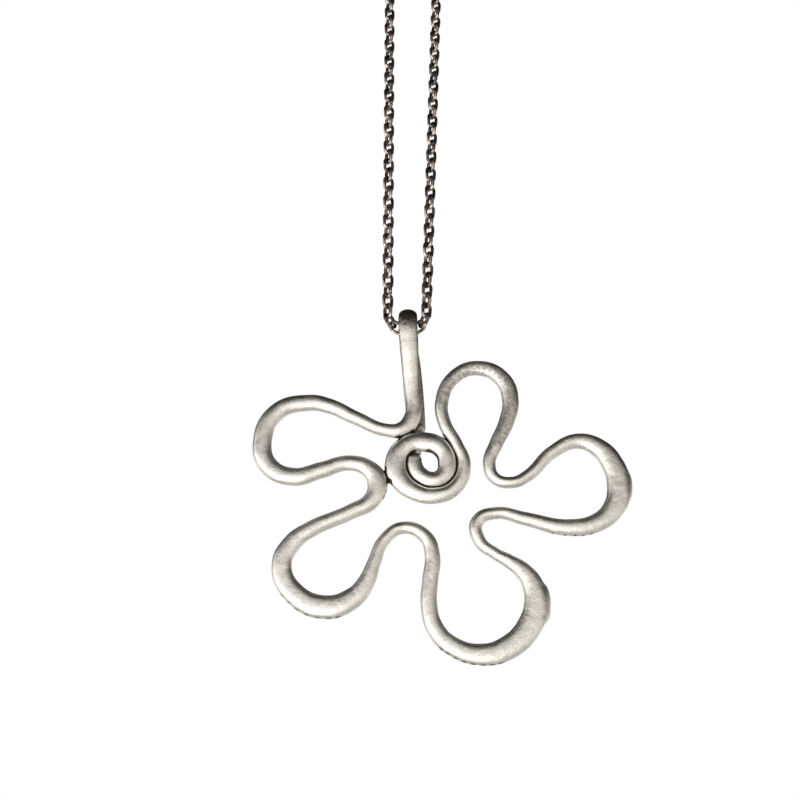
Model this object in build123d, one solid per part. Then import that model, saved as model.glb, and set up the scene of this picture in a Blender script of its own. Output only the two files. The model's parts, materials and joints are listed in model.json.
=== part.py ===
from build123d import *
import os
from math import ceil, cos, pi, radians, sin, tan

import numpy as np

# A flower bent from one length of tapered silver wire, hanging on a fine cable chain.
# The loop of chain hangs from the origin, +Z is up and the flower faces -Y.

# Sizes of the flower and its bail, in millimetres
flower_span = 55.0
wire_width = 2.5
wire_thickness = 2.0
bail_height = 12.9
bail_shift = -1.0
bail_width = 2.9
bail_thickness = 1.2
bail_inside = 1.5
rear_leg_height = 16.8
rear_leg_shift = 0.8
rear_leg_sway = 0.4
rear_leg_width = 2.3
rear_leg_thickness = 0.9
solder_bite = 0.3
solder_gap = 0.1
rear_solder = 1.4

# Sizes of the chain and its clasp, in millimetres and degrees
chain_length = 450.0
link_length = 2.98
link_width = 2.06
link_wire = 0.5
link_play = 0.14
link_tilt = 30.0
strand_lean = 1.05
bail_seat = 0.35
seat_slack = 0.12
twist_links = 6
clasp_length = 7.0
clasp_width = 3.4
clasp_wall = 1.1
clasp_thickness = 1.5
clasp_edge = 0.4
eye_wire = 0.6
eye_size = 2.2
ring_wire = 0.6
ring_size = 4.2
ring_play = 0.2

# How finely the bent wire is divided: the most turn and the most length of one step
step_turn = radians(10)
step_length = 3.0
samples_per_row = 40

# The wire from its curled end to the foot of the bail.
# Columns: bend, across and up from the foot in hundredths of flower_span,
# width in shares of wire_width, thickness in shares of wire_thickness.
wire_rows = [
    ("hub end", 0.4, -15.0, 0.70, 0.70),
    ("hub end", 0.7, -17.5, 0.90, 0.85),
    ("hub inner turn", 2.3, -20.2, 0.98, 0.95),
    ("hub inner turn", 5.3, -21.5, 0.98, 0.95),
    ("hub inner turn", 8.3, -20.2, 1.06, 0.95),
    ("hub inner turn", 9.3, -16.7, 1.12, 0.95),
    ("hub inner turn", 8.0, -12.9, 1.13, 0.95),
    ("hub inner turn", 3.6, -10.8, 1.18, 0.95),
    ("hub outer turn", -1.8, -12.2, 1.20, 0.95),
    ("hub outer turn", -4.3, -17.2, 1.24, 0.95),
    ("hub outer turn", -2.7, -22.0, 1.16, 0.95),
    ("hub outer turn", 1.1, -24.9, 1.04, 0.95),
    ("hub outer turn", 6.0, -25.7, 0.98, 0.95),
    ("hub outer turn", 11.1, -23.5, 0.92, 0.95),
    ("hub outer turn", 13.6, -17.4, 0.80, 0.95),
    ("hub outer turn", 11.5, -11.0, 0.75, 0.95),
    ("upper right petal", 8.6, -5.4, 0.76, 0.95),
    ("upper right petal", 7.7, 0.8, 0.78, 0.95),
    ("upper right petal", 11.4, 8.9, 0.82, 0.95),
    ("upper right petal", 17.9, 11.5, 0.92, 0.95),
    ("upper right petal", 24.0, 8.6, 1.04, 0.95),
    ("upper right petal", 26.3, 2.1, 1.00, 0.95),
    ("upper right petal", 25.0, -4.7, 0.90, 0.95),
    ("upper right petal", 22.2, -10.9, 0.80, 0.90),
    ("right valley", 20.3, -16.9, 0.73, 0.90),
    ("right valley", 21.8, -20.7, 0.68, 0.85),
    ("right valley", 26.2, -21.7, 0.65, 0.85),
    ("right valley", 30.1, -19.9, 0.69, 0.85),
    ("right petal", 37.2, -12.8, 0.76, 0.90),
    ("right petal", 44.0, -9.6, 0.88, 0.95),
    ("right petal", 49.6, -11.6, 1.16, 1.00),
    ("right petal", 52.8, -16.0, 1.30, 1.05),
    ("right petal", 54.1, -22.2, 1.42, 1.05),
    ("right petal", 52.2, -28.3, 1.20, 1.00),
    ("right petal", 47.8, -32.2, 1.04, 0.95),
    ("right petal", 40.3, -33.7, 0.96, 0.95),
    ("right petal", 29.0, -31.5, 0.74, 0.90),
    ("lower right valley", 21.9, -30.2, 0.66, 0.85),
    ("lower right valley", 17.0, -32.6, 0.76, 0.85),
    ("lower right valley", 17.5, -37.8, 0.70, 0.85),
    ("lower right valley", 21.3, -41.0, 0.62, 0.85),
    ("bottom petal", 24.9, -43.0, 0.76, 0.90),
    ("bottom petal", 28.4, -45.5, 0.96, 0.95),
    ("bottom petal", 30.8, -49.2, 1.20, 1.00),
    ("bottom petal", 31.5, -53.6, 1.40, 1.05),
    ("bottom petal", 29.7, -59.1, 1.36, 1.05),
    ("bottom petal", 24.6, -64.5, 1.30, 1.05),
    ("bottom petal", 17.9, -66.6, 1.14, 1.00),
    ("bottom petal", 10.4, -64.6, 1.00, 0.95),
    ("bottom petal", 6.2, -60.3, 0.96, 0.95),
    ("bottom petal", 4.7, -54.2, 0.91, 0.95),
    ("bottom petal", 5.0, -48.3, 0.90, 0.90),
    ("lower valley", 5.5, -42.2, 0.88, 0.90),
    ("lower valley", 3.7, -37.0, 0.78, 0.85),
    ("lower valley", -2.0, -34.7, 0.68, 0.85),
    ("lower valley", -6.9, -38.2, 0.67, 0.85),
    ("lower left petal", -9.2, -44.0, 0.74, 0.90),
    ("lower left petal", -11.0, -49.0, 0.94, 0.95),
    ("lower left petal", -14.3, -53.3, 1.18, 1.00),
    ("lower left petal", -21.3, -55.7, 1.32, 1.05),
    ("lower left petal", -29.3, -52.0, 1.16, 1.00),
    ("lower left petal", -32.5, -45.4, 1.12, 1.00),
    ("lower left petal", -30.2, -39.4, 1.06, 0.95),
    ("lower left petal", -25.8, -35.7, 0.90, 0.95),
    ("lower left petal", -15.6, -30.7, 0.84, 0.90),
    ("left valley", -10.2, -27.2, 1.02, 0.95),
    ("left valley", -9.1, -22.4, 1.16, 0.95),
    ("left valley", -11.3, -18.8, 1.02, 0.95),
    ("left valley", -16.4, -17.2, 0.86, 0.90),
    ("left petal", -23.8, -19.4, 0.96, 0.95),
    ("left petal", -31.0, -21.4, 1.04, 1.00),
    ("left petal", -37.4, -18.7, 1.10, 1.00),
    ("left petal", -39.8, -11.6, 1.10, 1.00),
    ("left petal", -35.6, -3.6, 1.06, 1.00),
    ("left petal", -27.9, 0.0, 0.99, 0.95),
    ("left petal", -22.4, -0.9, 0.92, 0.95),
    ("left petal", -15.5, -4.1, 0.82, 0.90),
    ("foot bend", -6.8, -7.6, 0.74, 0.90),
    ("foot bend", -2.7, -7.1, 0.94, 0.90),
    ("foot bend", -0.4, -4.2, 0.98, 0.85),
    ("foot", 0.2, 0.0, 0.88, 0.80),
]

# Rows that part the wire into stretches, so that turns of the hub that meet are fused
stretch_rows = [0, 7, 30]

# The bail's sections: shares of the way up its front leg, angles over its loop, shares down
# its rear leg. The loop takes this share of the taper, and the rear leg bows by this power.
front_leg_shares = [0.22, 0.48, 0.76]
loop_angles = range(0, 181, 30)
rear_leg_shares = [0.35, 0.7, 1.0]
loop_taper = 0.6
rear_leg_bow = 1.5

# Where the wire is soldered to itself, counted in rows of the table above.
# Columns: seam, place on one stretch, place on the other.
solder_rows = [
    ("foot bend on hub", 8.1, 77.8),
    ("foot bend on hub", 7.7, 78.0),
    ("foot bend on hub", 7.3, 78.5),
    ("left valley on hub", 9.1, 66.7),
    ("left valley on hub", 9.5, 66.4),
    ("left valley on hub", 9.9, 66.1),
]

# The links that carry the bail: slope of each from the left strand to the right one
seat_slopes = [-64, -30, 2, 36, 70]
seat_link = 2


def plane_across(origin, along, side):
    """The plane square to a direction, with its x axis as near as can be to side."""
    along = along.normalized()
    flat_side = (side - along * side.dot(along)).normalized()
    return Plane(origin=origin, x_dir=flat_side, z_dir=along)


def natural_cubic(knots, values):
    """Second derivatives of the smooth curve through values at knots, straight at both ends."""
    gaps = np.diff(knots)
    slopes = np.diff(values, axis=0) / gaps[:, None]
    size = len(knots)
    matrix = np.eye(size)
    right = np.zeros((size, values.shape[1]))
    for row in range(1, size - 1):
        matrix[row, row - 1] = gaps[row - 1]
        matrix[row, row] = 2 * (gaps[row - 1] + gaps[row])
        matrix[row, row + 1] = gaps[row]
        right[row] = 6 * (slopes[row] - slopes[row - 1])
    return np.linalg.solve(matrix, right)


def read_curve(knots, values, seconds, place):
    """Value and slope at one place of the smooth curve that natural_cubic describes."""
    span = int(np.clip(np.searchsorted(knots, place) - 1, 0, len(knots) - 2))
    gap = knots[span + 1] - knots[span]
    after = (place - knots[span]) / gap
    before = 1 - after
    bend = (before**3 - before) * seconds[span] + (after**3 - after) * seconds[span + 1]
    value = before * values[span] + after * values[span + 1] + bend * gap**2 / 6
    tilt = (3 * after**2 - 1) * seconds[span + 1] - (3 * before**2 - 1) * seconds[span]
    slope = (values[span + 1] - values[span]) / gap + tilt * gap / 6
    return value, slope


def foot_size():
    """Width and thickness of the wire at the foot of the bail."""
    _, _, _, width, thickness = wire_rows[-1]
    return width * wire_width, thickness * wire_thickness


def between(low, high, share):
    """The value a share of the way from low to high."""
    return low + (high - low) * share


def bail_rows(foot, eye):
    """Rows of the wire past the foot: up the front leg, over the loop and down behind."""
    reach = bail_inside + bail_thickness / 2
    front = Vector(0, -1, 0)
    up = Vector(0, 0, 1)
    foot_width, foot_thickness = foot_size()
    rear_end = foot + Vector(rear_leg_shift, 0, bail_height - rear_leg_height)
    rear_y = foot_thickness / 2 + rear_leg_thickness / 2 + solder_gap
    rows = []
    for share in front_leg_shares:
        eased = 3 * share**2 - 2 * share**3
        spot = foot + (eye - foot) * share + front * reach * eased
        width = between(foot_width, bail_width, share)
        rows.append((spot, width, between(foot_thickness, bail_thickness, share)))
    for angle in loop_angles:
        out = front * cos(radians(angle)) + up * sin(radians(angle))
        width = between(bail_width, rear_leg_width, loop_taper * angle / 180)
        rows.append((eye + out * reach, width, bail_thickness))
    for share in rear_leg_shares:
        spot = eye + (rear_end - eye) * share
        sway = rear_leg_sway * sin(pi * share)
        spot = Vector(spot.X - sway, between(reach, rear_y, share**rear_leg_bow), spot.Z)
        width = between(bail_width, rear_leg_width, between(loop_taper, 1, share))
        rows.append((spot, width, between(bail_thickness, rear_leg_thickness, share)))
    return rows


def wire_curve(foot, eye):
    """The smooth curve of the whole wire: place, width and thickness along it."""
    rows = []
    for _, across, up, width, thickness in wire_rows:
        spot = foot + Vector(across, 0, up) * (flower_span / 100)
        rows.append((spot, width * wire_width, thickness * wire_thickness))
    rows += bail_rows(foot, eye)
    values = np.array([[spot.X, spot.Y, spot.Z, width, thick] for spot, width, thick in rows])
    chords = np.linalg.norm(np.diff(values[:, :3], axis=0), axis=1)
    knots = np.concatenate([[0], np.cumsum(chords)])
    return knots, values, natural_cubic(knots, values)


def spaced_places(curve, first_row, last_row):
    """Places along a stretch of the wire, closer together where it turns more."""
    knots = curve[0]
    count = samples_per_row * (last_row - first_row)
    fine = np.linspace(knots[first_row], knots[last_row], count + 1)
    slopes = np.array([read_curve(*curve, place)[1][:3] for place in fine])
    headings = slopes / np.linalg.norm(slopes, axis=1)[:, None]
    turns = np.linalg.norm(np.diff(headings, axis=0), axis=1)
    steps = np.maximum(turns / step_turn, np.diff(fine) / step_length)
    effort = np.concatenate([[0], np.cumsum(steps)])
    return np.interp(np.linspace(0, effort[-1], ceil(effort[-1]) + 1), effort, fine)


def wire_stretch(curve, first_row, last_row):
    """The solid of one stretch of the wire, lofted through its cross sections."""
    knots = curve[0]
    sections = []
    for place in spaced_places(curve, first_row, last_row):
        value, slope = read_curve(*curve, place)
        along = Vector(*slope[:3])
        in_flower = place < knots[len(wire_rows) - 1]
        side = along.cross(Vector(0, -1, 0)) if in_flower else Vector(1, 0, 0)
        plane = plane_across(Vector(*value[:3]), along, side)
        sections.append((plane * Ellipse(value[3] / 2, value[4] / 2)).wire())
    return Solid.make_loft(sections, ruled=True)


def solder_blobs(curve):
    """Centres and sizes of the solder that fills the seams between two stretches."""
    knots = curve[0]
    blobs = []
    for _, one, other in solder_rows:
        ends = []
        for row in (one, other):
            place = np.interp(row, range(len(knots)), knots)
            value, _ = read_curve(*curve, place)
            ends.append((Vector(*value[:3]), value[3] / 2))
        (near, near_half), (far, far_half) = ends
        across = (far - near).normalized()
        size = (far - near).length - near_half - far_half + 2 * solder_bite
        blobs.append((near + across * (near_half - solder_bite + size / 2), size))
    return blobs


def make_flower_wire(foot, eye):
    """The bent wire with its solder, one solid."""
    curve = wire_curve(foot, eye)
    breaks = stretch_rows + [len(curve[0]) - 1]
    stretches = [wire_stretch(curve, first, last) for first, last in zip(breaks, breaks[1:])]
    solder = [Pos(*spot) * Sphere(size / 2) for spot, size in solder_blobs(curve)]
    rear_seam = foot + Vector(rear_leg_shift / 2, foot_size()[1] / 2, 0)
    solder.append(Pos(*rear_seam) * Sphere(rear_solder / 2))
    wire = stretches[0].fuse(*stretches[1:])
    return wire.fuse(*solder)


def make_link():
    """One oval link, its long axis along Z and flat in the XZ plane."""
    radius = (link_width - link_wire) / 2
    half = (link_length - link_width) / 2
    left = Line((-radius, 0, -half), (-radius, 0, half))
    top = ThreePointArc((-radius, 0, half), (0, 0, half + radius), (radius, 0, half))
    right = Line((radius, 0, half), (radius, 0, -half))
    bottom = ThreePointArc((radius, 0, -half), (0, 0, -half - radius), (-radius, 0, -half))
    path = Wire([left, top, right, bottom])
    section = Plane(origin=(-radius, 0, 0), z_dir=(0, 0, 1)) * Circle(link_wire / 2)
    return sweep(section, path=path)


def seat_points(eye, pitch):
    """Joints of the links that carry the bail, with one link level under its loop."""
    points = [Vector(0, 0, 0)]
    for slope in seat_slopes:
        step = Vector(cos(radians(slope)), 0, sin(radians(slope)))
        points.append(points[-1] + step * (pitch - seat_slack))
    middle = (points[seat_link] + points[seat_link + 1]) * 0.5
    shift = eye - Vector(0, 0, bail_seat) - middle
    return [point + shift for point in points]


def loop_round(left_end, right_end, centre_z):
    """Centre, radius and run lengths of the round that closes both leaning strands."""
    lean = radians(strand_lean)
    centre_x = (left_end.X + right_end.X) / 2 + (left_end.Z - right_end.Z) * tan(lean) / 2
    radius = (centre_x - left_end.X) * cos(lean) + (centre_z - left_end.Z) * sin(lean)
    left_run = (centre_z - left_end.Z) * cos(lean) - (centre_x - left_end.X) * sin(lean)
    right_run = (centre_z - right_end.Z) * cos(lean) - (right_end.X - centre_x) * sin(lean)
    total = left_run + right_run + radius * (pi + 2 * lean)
    return Vector(centre_x, 0, centre_z), radius, left_run, right_run, total


def loop_point(left_end, right_end, crown, place):
    """Point of the loop at a length from the left end of the seat, over the top to its right end."""
    centre, radius, left_run, right_run, total = crown
    lean = radians(strand_lean)
    if place <= left_run:
        return left_end + Vector(-sin(lean), 0, cos(lean)) * place
    if place >= total - right_run:
        return right_end + Vector(sin(lean), 0, cos(lean)) * (total - place)
    angle = pi + lean - (place - left_run) / radius
    return centre + Vector(cos(angle), 0, sin(angle)) * radius


def clasp_parts():
    """Places along the clasp from the joint of the link that holds its eye."""
    overlap = (link_wire + link_play) / 2
    eye_gap = (eye_wire + link_wire) / 2 + link_play
    eye_radius = (eye_size - eye_wire) / 2
    eye_centre = overlap - eye_gap + eye_radius
    body_start = eye_centre + eye_radius - eye_wire / 4
    body_end = body_start + clasp_length
    ring_radius = (ring_size - ring_wire) / 2
    ring_bow = ring_radius - (ring_radius**2 - clasp_thickness**2 / 4) ** 0.5
    ring_near = body_end - clasp_wall - ring_wire / 2 - ring_play - ring_bow
    ring_gap = (ring_wire + link_wire) / 2 + link_play
    far_joint = ring_near + 2 * ring_radius - ring_gap + overlap
    return {
        "eye centre": eye_centre,
        "body start": body_start,
        "body end": body_end,
        "ring centre": ring_near + ring_radius,
        "far joint": far_joint,
    }


def make_clasp():
    """The plain clasp along Z from its eye, flat in the XZ plane."""
    places = clasp_parts()
    middle = (places["body start"] + places["body end"]) / 2
    upright = Plane(origin=(0, clasp_thickness / 2, middle), x_dir=(0, 0, 1), z_dir=(0, 1, 0))
    outer = extrude(upright * SlotOverall(clasp_length, clasp_width), -clasp_thickness)
    outer = fillet(outer.edges(), clasp_edge)
    hole_length = clasp_length - 2 * clasp_wall
    hole_width = clasp_width - 2 * clasp_wall
    hole = extrude(upright * SlotOverall(hole_length, hole_width), -clasp_thickness)
    eye_plane = Plane(origin=(0, 0, places["eye centre"]), x_dir=(1, 0, 0), z_dir=(0, 1, 0))
    eye = eye_plane * Torus((eye_size - eye_wire) / 2, eye_wire / 2)
    return outer - hole + eye


def make_ring():
    """The round ring that the clasp hooks into, square to the clasp."""
    centre = (0, 0, clasp_parts()["ring centre"])
    plane = Plane(origin=centre, x_dir=(0, 1, 0), z_dir=(1, 0, 0))
    return plane * Torus((ring_size - ring_wire) / 2, ring_wire / 2)


def link_frame(start, end, tilt):
    """Where a link sits between two joints, turned by tilt about its own length."""
    along = (end - start).normalized()
    side = along.cross(Vector(0, 1, 0))
    side = side * cos(radians(tilt)) + Vector(0, 1, 0) * sin(radians(tilt))
    plane = Plane(origin=(start + end) * 0.5, x_dir=side, z_dir=along)
    return plane.location


def link_tilts(count, top_count, seat_middle):
    """Tilt of every link: steady in each strand, with a slow twist over the top and at the bail."""
    tilts = []
    for index in range(count):
        over_top = 1 - index / top_count
        at_bail = (index - seat_middle) / (2 * twist_links) + 0.5
        share = min(1.0, max(0.0, over_top, at_bail))
        tilts.append(link_tilt + (90 - 2 * link_tilt) * share + 90 * (index % 2))
    return tilts


def make_chain(eye):
    """Links in order from the ring, over the top, down, under the bail and up to the clasp."""
    pitch = link_length - 2 * link_wire - link_play
    seat = seat_points(eye, pitch)
    reach = clasp_parts()["far joint"]
    seat_count = len(seat_slopes)
    count = 2 * round((chain_length - reach) / pitch / 2)
    run = (count - seat_count) * pitch + reach
    low = loop_round(seat[0], seat[-1], 0.0)[-1]
    high = loop_round(seat[0], seat[-1], 1.0)[-1]
    crown = loop_round(seat[0], seat[-1], (run - low) / (high - low))
    centre, radius, left_run, right_run, total = crown
    left_count = ceil((total - right_run) / pitch) + 1
    right_count = count - seat_count - left_count
    right_places = [total - step * pitch for step in range(right_count + 1)]
    joints = [loop_point(seat[0], seat[-1], crown, step * pitch) for step in range(left_count, 0, -1)]
    joints += seat
    joints += [loop_point(seat[0], seat[-1], crown, place) for place in right_places[1:]]
    top_count = left_count - int(left_run / pitch)
    seat_middle = left_count + seat_link + 0.5
    tilts = link_tilts(count, top_count, seat_middle)
    pattern = make_link()
    links = []
    for start, end, tilt in zip(joints, joints[1:], tilts):
        links.append(link_frame(start, end, tilt) * pattern)
    clasp_frame = link_frame(joints[-1], joints[0], tilts[-1] + 90)
    clasp_frame = Location(joints[-1]) * Rot(clasp_frame.orientation)
    crown_inside = centre + Vector(0, 0, radius - link_width / 2)
    return links, left_count + seat_link + 1, clasp_frame, crown_inside


def write_part(name, shapes):
    """Write one piece of the necklace to its own file."""
    shape = shapes[0] if len(shapes) == 1 else Compound(children=shapes)
    shape.label = name
    export_step(shape, f"parts/{name}.step")


os.makedirs("parts", exist_ok=True)
bail_eye = Vector(0, 0, 0)
foot = bail_eye - Vector(bail_shift, 0, bail_height)
links, left_links, clasp_frame, crown_inside = make_chain(bail_eye)
hang = Pos(*(crown_inside * -1))
write_part("flower_wire", [hang * make_flower_wire(foot, bail_eye)])
write_part("chain_left", [hang * link for link in links[:left_links]])
write_part("chain_right", [hang * link for link in links[left_links:]])
write_part("clasp", [hang * clasp_frame * make_clasp()])
write_part("clasp_ring", [hang * clasp_frame * make_ring()])
print("links", len(links), "bail eye", hang.position)
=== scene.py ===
# %% [markdown]
# # A flower pendant bent from one silver wire
# The real jewel is one length of tapered silver wire. Its thin end is curled into a hub, the
# rest runs round five petals and ends in a bail, the loop that a fine cable chain passes
# through. The solids are already made at their real size and place. This lesson bends and
# forges the wire again with the marks of the hammer, sets a light link in the place of each
# solid one, and gives every piece its metal. Lengths are in metres, and MM is a millimetre.

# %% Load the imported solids
import json
import math

import bpy
import numpy as np
from mathutils import Matrix, Vector


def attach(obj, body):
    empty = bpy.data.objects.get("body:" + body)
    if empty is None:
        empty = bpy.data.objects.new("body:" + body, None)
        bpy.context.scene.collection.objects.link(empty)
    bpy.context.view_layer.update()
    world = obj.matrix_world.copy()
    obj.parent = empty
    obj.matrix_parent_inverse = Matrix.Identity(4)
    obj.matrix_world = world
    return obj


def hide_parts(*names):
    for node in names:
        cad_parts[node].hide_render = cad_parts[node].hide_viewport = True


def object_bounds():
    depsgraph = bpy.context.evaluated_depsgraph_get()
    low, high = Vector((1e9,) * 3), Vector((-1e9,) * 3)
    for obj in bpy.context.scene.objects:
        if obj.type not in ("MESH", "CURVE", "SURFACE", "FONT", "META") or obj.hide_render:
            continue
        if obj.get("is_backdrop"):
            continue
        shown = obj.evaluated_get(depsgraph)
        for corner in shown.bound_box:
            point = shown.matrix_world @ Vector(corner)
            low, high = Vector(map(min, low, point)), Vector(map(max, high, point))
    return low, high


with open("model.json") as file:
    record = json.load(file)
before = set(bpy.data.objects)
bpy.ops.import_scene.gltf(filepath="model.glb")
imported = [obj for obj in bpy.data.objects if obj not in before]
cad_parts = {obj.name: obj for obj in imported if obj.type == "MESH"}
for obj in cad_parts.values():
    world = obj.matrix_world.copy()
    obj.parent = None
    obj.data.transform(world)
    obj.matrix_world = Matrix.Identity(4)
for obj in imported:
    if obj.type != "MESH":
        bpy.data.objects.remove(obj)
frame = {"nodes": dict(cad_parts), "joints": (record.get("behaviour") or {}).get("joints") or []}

MM = 0.001
cad_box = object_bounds()
bail_eye = Vector(frame["joints"][0]["pos_m"])
bpy.ops.object.select_all(action="DESELECT")
print("nodes", sorted(frame["nodes"]), "bail eye", [round(x / MM, 2) for x in bail_eye])

# %% [markdown]
# ## The camera
# The photograph looks up at the hanging pendant from close below, which makes the wire's
# lower faces show and the far chain converge. A lens is chosen by its angle: focal length
# over sensor width is the same ratio as focal length in pixels over picture width.

# %% Place the camera where the photograph was taken from
picture_width = 800
focal_pixels = 1086
film_width = 36
near_clip = 5 * MM
view_pitch = math.radians(25)
view_roll = math.radians(1.2)
view_distance = 161.4 * MM
view_centre = bail_eye + Vector((-0.943, 0, -12.123)) * MM


def aim_camera():
    """Adds the camera, tilted up towards the pendant and rolled a little."""
    forward = Vector((0, math.cos(view_pitch), math.sin(view_pitch)))
    upward = Vector((0, -math.sin(view_pitch), math.cos(view_pitch)))
    across = Vector((1, 0, 0))
    right = across * math.cos(view_roll) + upward * math.sin(view_roll)
    top = upward * math.cos(view_roll) - across * math.sin(view_roll)
    bpy.ops.object.camera_add(location=view_centre - forward * view_distance)
    camera = bpy.context.object
    camera.rotation_euler = Matrix((right, top, -forward)).transposed().to_euler()
    camera.data.sensor_width = film_width
    camera.data.lens = film_width * focal_pixels / picture_width
    camera.data.clip_start = near_clip
    bpy.context.scene.camera = camera
    return camera


camera = aim_camera()
print("camera at", [round(x / MM, 1) for x in camera.location], "lens", round(camera.data.lens, 2))

# %% [markdown]
# ## Floor and light
# Polished metal shows what stands round it. In the photograph the wire is bright where it
# faces the viewer or the floor, a little dimmer on its right, and nearly black along its
# upper edges. A room could be built of white and black cards. Here the world is shaded by
# direction instead, which reflects the same and never stands in the picture: pale on the
# left, dimmer on the right, behind and below, and dark overhead. A large soft box, low and
# to the left, and a weaker one beside the jewel add the highlights. The camera sees white.

# %% Helpers for shader nodes
# Places of the mix node's sockets for colours.
mix_low, mix_high, mix_result = 6, 7, 2


def feed(tree, socket, value):
    """Sets a socket to a number or a colour, or links another socket to it."""
    if isinstance(value, (int, float)):
        socket.default_value = value
    elif isinstance(value, tuple):
        socket.default_value = (*value, 1)
    else:
        tree.links.new(value, socket)


def add_math(tree, operation, first, second):
    """A math node whose inputs are numbers or sockets, and its output."""
    node = tree.nodes.new("ShaderNodeMath")
    node.operation = operation
    feed(tree, node.inputs[0], first)
    feed(tree, node.inputs[1], second)
    return node.outputs[0]


def add_ramp(tree, source, span):
    """A mask that rises from 0 to 1 as source goes from one end of a span to the other."""
    node = tree.nodes.new("ShaderNodeMapRange")
    node.interpolation_type = "SMOOTHSTEP"
    node.inputs["From Min"].default_value, node.inputs["From Max"].default_value = span
    tree.links.new(source, node.inputs["Value"])
    return node.outputs["Result"]


def mix_colours(tree, mask, low, high):
    """A colour that goes from low to high as mask goes from 0 to 1."""
    node = tree.nodes.new("ShaderNodeMix")
    node.data_type = "RGBA"
    tree.links.new(mask, node.inputs["Factor"])
    feed(tree, node.inputs[mix_low], low)
    feed(tree, node.inputs[mix_high], high)
    return node.outputs[mix_result]


def new_material(name, colour, roughness, metallic=0.0):
    """A material with its shader, and the shader's own constant values."""
    material = bpy.data.materials.new(name)
    material.use_nodes = True
    shader = material.node_tree.nodes["Principled BSDF"]
    shader.inputs["Base Color"].default_value = (*colour, 1)
    shader.inputs["Metallic"].default_value = metallic
    shader.inputs["Roughness"].default_value = roughness
    return material, material.node_tree, shader


# %% Lay the floor
floor_size = 60
floor_drop = 900 * MM
floor_colour = (0.8, 0.8, 0.79)
floor_roughness = 0.8
floor_glow = 0.75


def make_floor():
    """A plain pale floor well below the jewel, for the eye only: the room lights the metal."""
    place = (0, 0, cad_box[0].z - floor_drop)
    bpy.ops.mesh.primitive_plane_add(size=floor_size, location=place)
    floor = bpy.context.object
    floor.name = "floor"
    pale, _, shader = new_material("pale floor", floor_colour, floor_roughness)
    shader.inputs["Emission Color"].default_value = (*floor_colour, 1)
    shader.inputs["Emission Strength"].default_value = floor_glow
    floor.data.materials.append(pale)
    floor.visible_glossy = False
    floor.visible_diffuse = False
    floor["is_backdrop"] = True
    return floor


floor = make_floor()
print("floor at", round(floor.location.z / MM), "mm")

# %% Shade the room
room_left = (1.2, 1.185, 1.14)
room_right = (0.86, 0.82, 0.755)
room_above = (0.03, 0.028, 0.025)
room_behind = (0.85, 0.835, 0.8)
room_below = (0.54, 0.53, 0.495)
# The direction that counts as overhead, and where each part of the room starts and is full.
overhead = (-0.04, 0.42, 1.0)
right_span = (-0.3, 0.8)
above_span = (-0.29, 0.32)
behind_span = (0.2, 0.6)
behind_top = (0.45, 0.25)
below_span = (-0.35, -0.5)


def shade_room(tree):
    """The colour of the room in every direction."""
    direction = tree.nodes.new("ShaderNodeTexCoord").outputs["Generated"]
    parts = tree.nodes.new("ShaderNodeSeparateXYZ")
    tree.links.new(direction, parts.inputs["Vector"])
    height = tree.nodes.new("ShaderNodeVectorMath")
    height.operation = "DOT_PRODUCT"
    height.inputs[1].default_value = overhead
    tree.links.new(direction, height.inputs[0])
    right = add_ramp(tree, parts.outputs["X"], right_span)
    above = add_ramp(tree, height.outputs["Value"], above_span)
    behind = add_ramp(tree, parts.outputs["Y"], behind_span)
    behind = add_math(tree, "MULTIPLY", behind, add_ramp(tree, parts.outputs["Z"], behind_top))
    below = add_ramp(tree, parts.outputs["Z"], below_span)
    colour = mix_colours(tree, right, room_left, room_right)
    for mask, next_colour in ((above, room_above), (behind, room_behind), (below, room_below)):
        colour = mix_colours(tree, mask, colour, next_colour)
    return colour


def set_world():
    """White behind the jewel for the camera, and for its reflections the shaded room."""
    world = bpy.data.worlds.new("studio")
    world.use_nodes = True
    tree = world.node_tree
    tree.nodes.clear()
    output = tree.nodes.new("ShaderNodeOutputWorld")
    seen = tree.nodes.new("ShaderNodeBackground")
    room = tree.nodes.new("ShaderNodeBackground")
    path = tree.nodes.new("ShaderNodeLightPath")
    choice = tree.nodes.new("ShaderNodeMixShader")
    seen.inputs["Color"].default_value = (1, 1, 1, 1)
    tree.links.new(shade_room(tree), room.inputs["Color"])
    tree.links.new(path.outputs["Is Camera Ray"], choice.inputs["Fac"])
    tree.links.new(room.outputs["Background"], choice.inputs[1])
    tree.links.new(seen.outputs["Background"], choice.inputs[2])
    tree.links.new(choice.outputs["Shader"], output.inputs["Surface"])
    bpy.context.scene.world = world
    return world


world = set_world()
bpy.context.scene.view_settings.view_transform = "Standard"
print("nodes of the room", len(world.node_tree.nodes))

# %% Light the jewel
# Columns: name, azimuth and elevation in degrees, distance, width and height, power, colour.
soft_boxes = [
    ("low soft box", -30, -35, 0.6, (0.7, 0.6), 1.97, (1.0, 0.985, 0.95)),
    ("left soft box", -75, 10, 0.7, (0.5, 0.6), 0.7, (1.0, 1.0, 1.0)),
]


def aim_light(name, azimuth, elevation, distance, size, power, colour):
    """Adds a rectangular soft box that looks at the middle of the flower."""
    angle, rise = math.radians(azimuth), math.radians(elevation)
    level = Vector((math.sin(angle), -math.cos(angle), 0))
    out = level * math.cos(rise) + Vector((0, 0, math.sin(rise)))
    bpy.ops.object.light_add(type="AREA", location=view_centre + out * distance)
    light = bpy.context.object
    light.name = name
    light.rotation_euler = (-out).to_track_quat("-Z", "Y").to_euler()
    light.data.shape = "RECTANGLE"
    light.data.size, light.data.size_y = size
    light.data.energy = power
    light.data.color = colour
    light.visible_camera = False


for soft_box in soft_boxes:
    aim_light(*soft_box)

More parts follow.
